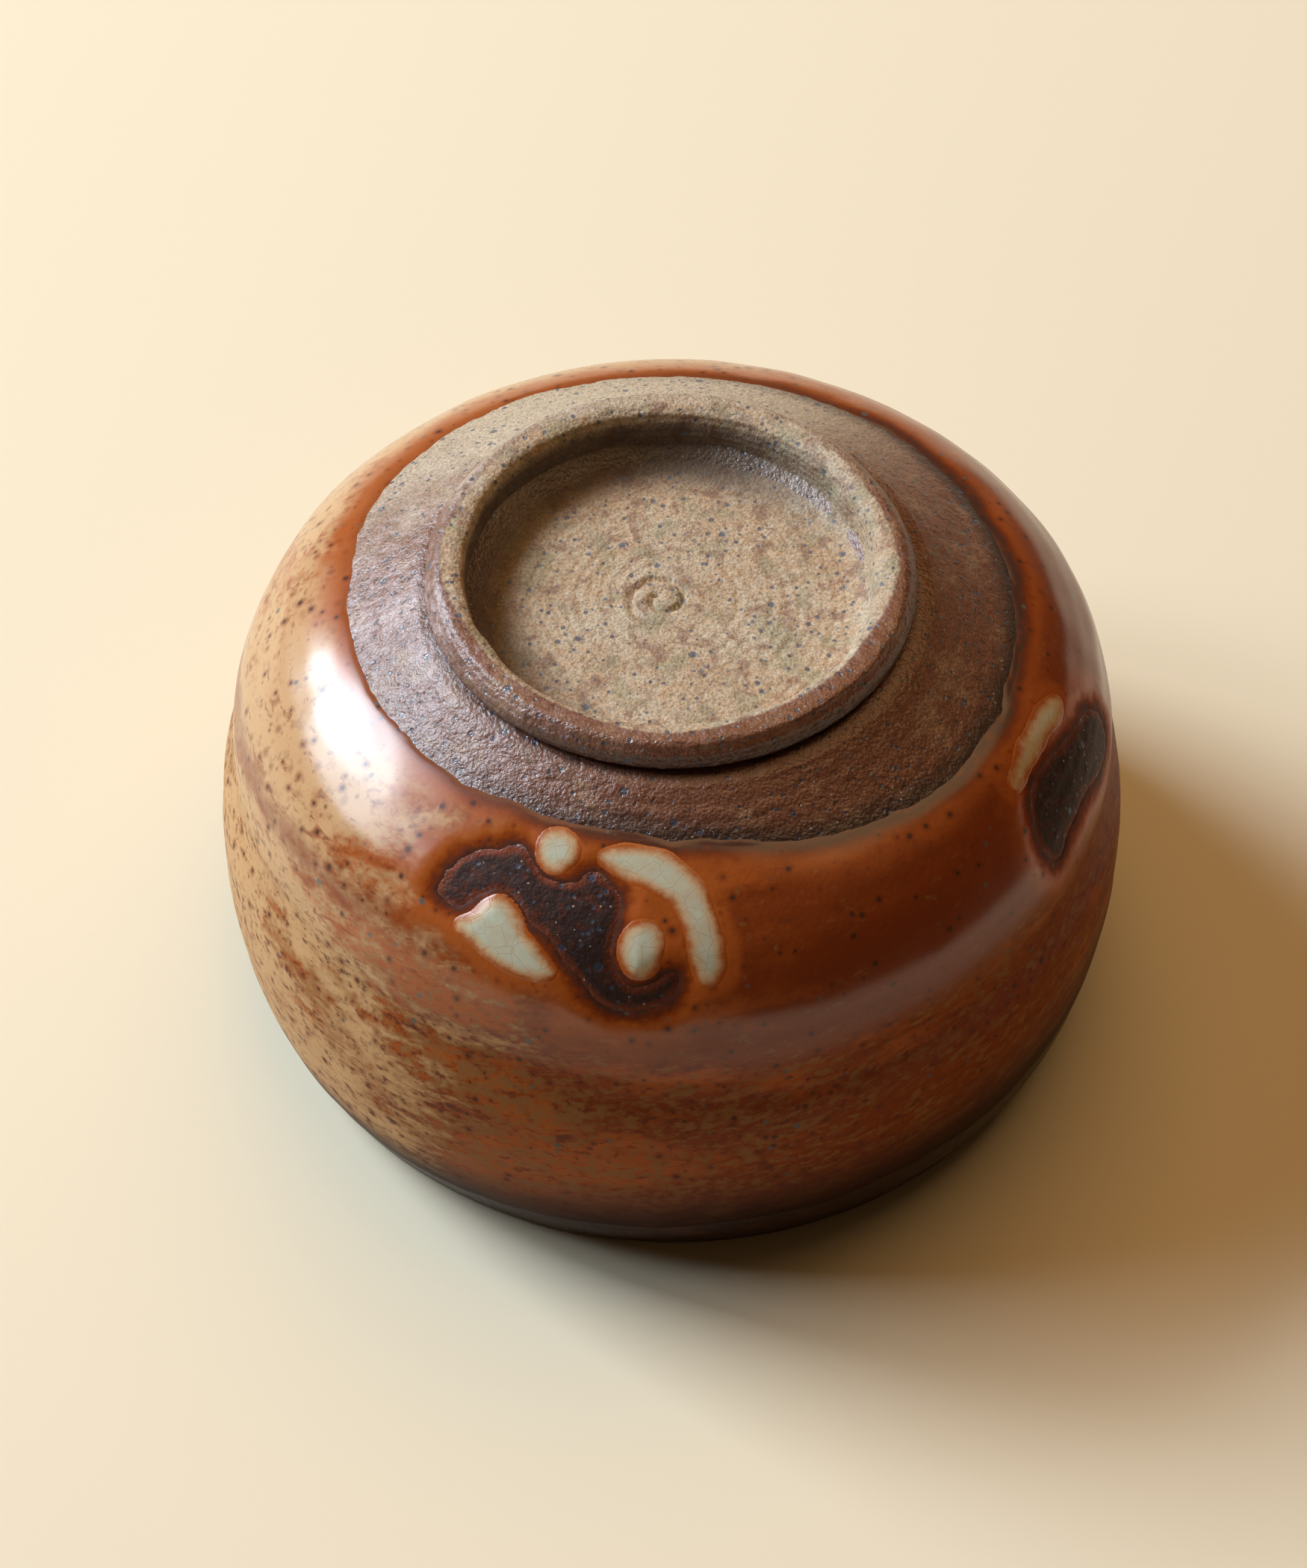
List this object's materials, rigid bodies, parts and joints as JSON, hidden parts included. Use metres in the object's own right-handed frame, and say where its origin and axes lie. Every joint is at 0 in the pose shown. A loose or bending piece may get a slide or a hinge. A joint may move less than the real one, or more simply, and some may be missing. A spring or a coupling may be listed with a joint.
{
  "type": "matcha bowl",
  "caption": "Low round stoneware tea bowl with a drawn-in waist and a ring foot, stored turned over on its lip; red glaze with bare finger marks, bare clay round the foot.",
  "frame": {"origin": "on the bowl's axis at the level of the lip, where the bowl rests upside down on a table", "axes": "+Z along the axis from the mouth to the foot ring, so the bowl is stored mouth down and is turned over about X or Y for use; -Y is the side with the front finger mark, +X the side with the second one"},
  "size_m": [0.1194, 0.1195, 0.0713],
  "materials": {
    "bare_clay": "unglazed stoneware, purple-brown, grainy, with a faint ash sheen",
    "foot_clay": "unglazed stoneware, ochre to brown, grainy",
    "red_glaze": "glossy rust-red and cream feldspar glaze with iron specks",
    "inside_glaze": "glossy cream to rust glaze",
    "iron_glaze": "satin iron-brown glaze",
    "pale_glaze": "thick glossy grey-cream glaze, finely crazed"
  },
  "bodies": {
    "root": {"bowl_body": "bare_clay", "foot_ring": "foot_clay", "outer_glaze": "red_glaze", "inner_glaze": "inside_glaze", "lip_glaze": "iron_glaze", "crescent_glaze_pool": "pale_glaze", "upper_glaze_drop": "pale_glaze", "round_glaze_drop": "pale_glaze", "left_glaze_pool": "pale_glaze", "side_glaze_run": "pale_glaze"}
  },
  "joints": []
}
